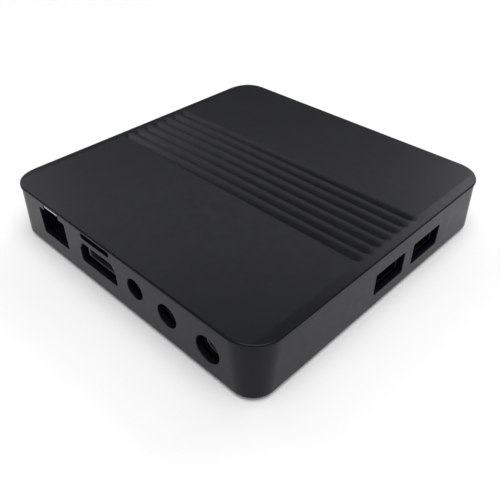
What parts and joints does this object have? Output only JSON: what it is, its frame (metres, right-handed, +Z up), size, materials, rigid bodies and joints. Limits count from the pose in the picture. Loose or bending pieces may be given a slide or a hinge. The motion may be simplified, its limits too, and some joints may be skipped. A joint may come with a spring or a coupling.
{
  "type": "streaming media player",
  "caption": "Flat square media player box with a notched top cover, sockets on two sides, vented floor, rubber feet and its electronics inside.",
  "frame": {"origin": "centre of the underside of the feet, on the surface the player stands on", "axes": "+Z up; -Y towards the side with the network, video, audio and power sockets; +X towards the USB side"},
  "size_m": [0.1, 0.1, 0.0181],
  "materials": {
    "cover_plastic": "satin moulded ABS",
    "case_plastic": "satin moulded ABS",
    "foot_rubber": "matt moulded rubber",
    "screw_steel": "black zinc plated",
    "board_laminate": "green solder mask",
    "chip_resin": "moulded epoxy",
    "ferrite": "matt ferrite",
    "tin_plate": "tin plated sheet",
    "dark_nickel": "black nickel plated sheet",
    "spring_steel": "drawn wire",
    "contact_gold": "gold flash",
    "insulator": "glass filled nylon",
    "thermal_pad": "soft silicone",
    "sink_aluminium": "extruded, clear anodised",
    "can_aluminium": "drawn can",
    "slider_plastic": "moulded acetal",
    "infrared_window": "polished dark acrylic",
    "light_lens": "clear moulded resin",
    "antenna_foil": "copper foil under polyimide film",
    "lead_jacket": "extruded jacket"
  },
  "bodies": {
    "player": {"antenna": "antenna_foil", "antenna_lead": "lead_jacket", "audio_jack": "insulator", "av_jack": "insulator", "board_screw_port_left": "screw_steel", "board_screw_port_right": "screw_steel", "board_screw_room_left": "screw_steel", "board_screw_room_right": "screw_steel", "capacitor_1": "can_aluminium", "capacitor_2": "can_aluminium", "card_base": "insulator", "card_cover": "tin_plate", "card_spring": "spring_steel", "case_screw_port_left": "screw_steel", "case_screw_port_right": "screw_steel", "case_screw_room_left": "screw_steel", "case_screw_room_right": "screw_steel", "crystal": "tin_plate", "flash_chip": "chip_resin", "foot_port_left": "foot_rubber", "foot_port_right": "foot_rubber", "foot_room_left": "foot_rubber", "foot_room_right": "foot_rubber", "hdmi_shell": "dark_nickel", "hdmi_tongue": "insulator", "heat_sink": "sink_aluminium", "inductor_1": "ferrite", "inductor_2": "ferrite", "ir_receiver": "infrared_window", "lead_plug": "contact_gold", "light_holder": "insulator", "lower_case": "case_plastic", "main_board": "board_laminate", "memory_chip_1": "chip_resin", "memory_chip_2": "chip_resin", "network_contacts": "contact_gold", "network_housing": "insulator", "network_shield": "tin_plate", "network_transformer": "chip_resin", "power_chip": "chip_resin", "power_jack": "insulator", "power_pin": "tin_plate", "processor": "chip_resin", "reset_body": "tin_plate", "status_light": "light_lens", "thermal_pad": "thermal_pad", "top_cover": "cover_plastic", "usb_1_shell": "dark_nickel", "usb_1_tongue": "insulator", "usb_2_shell": "dark_nickel", "usb_2_tongue": "insulator", "wifi_board": "board_laminate", "wifi_shield": "tin_plate", "window": "infrared_window"},
    "slider": {"card_slider": "slider_plastic"},
    "plunger": {"reset_plunger": "insulator"}
  },
  "joints": [
    {"name": "card_push", "type": "slide", "parent": "player", "child": "slider", "axis": [0, 1, 0], "range_m": [0, 0.0012], "stiffness_N_per_m": 800, "springref_m": -0.0005, "deforming": ["card_spring"]},
    {"name": "reset_press", "type": "slide", "parent": "player", "child": "plunger", "axis": [0, 0, 1], "range_m": [0, 0.00025], "stiffness_N_per_m": 5000, "springref_m": -0.0001}
  ]
}
